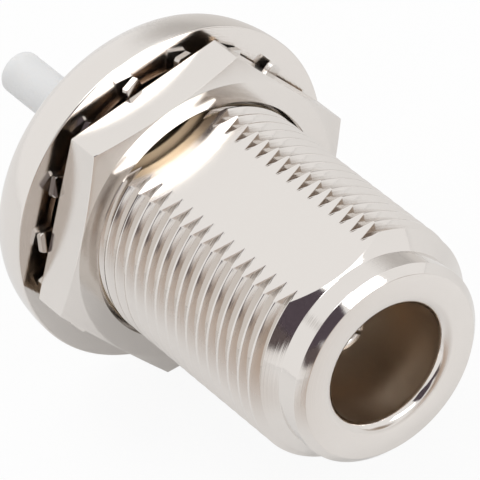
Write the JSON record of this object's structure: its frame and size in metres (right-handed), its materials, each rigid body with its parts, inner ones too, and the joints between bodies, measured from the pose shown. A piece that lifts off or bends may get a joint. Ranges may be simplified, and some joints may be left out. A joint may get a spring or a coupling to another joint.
{
  "type": "coaxial connector jack",
  "caption": "Coaxial bulkhead jack with a threaded and flatted barrel, a round rear flange, a lock washer, a hex nut and a bare insulator rod for a board or cable.",
  "frame": {"origin": "centre of the flange's front face, the face that bears on the panel", "axes": "-Y along the coaxial axis towards the mating end, +Z square to the milled flat of the thread, +X to the right seen from the mating end's front"},
  "size_m": [0.023, 0.04, 0.023],
  "materials": {
    "body_plating": "bright nickel plate",
    "insulator_plastic": "waxy white fluoropolymer",
    "contact_plating": "satin plate",
    "washer_plating": "bright nickel plate, stamped edges",
    "nut_plating": "bright nickel plate"
  },
  "bodies": {
    "jack": {"body": "body_plating", "insulator": "insulator_plastic", "center_contact": "contact_plating"},
    "washer": {"lock_washer": "washer_plating"},
    "nut": {"hex_nut": "nut_plating"}
  },
  "joints": [
    {"name": "nut_travel", "type": "slide", "parent": "jack", "child": "washer", "axis": [0, -1, 0], "range_m": [0, 0.01588]},
    {"name": "nut_spin", "type": "hinge", "parent": "washer", "child": "nut", "pos_m": [0, 0, 0], "axis": [0, -1, 0], "range_deg": [-2, 5402]}
  ],
  "couplings": [
    {"joint": "nut_spin", "follows": "nut_travel", "rad_per_m": 5936.9}
  ]
}
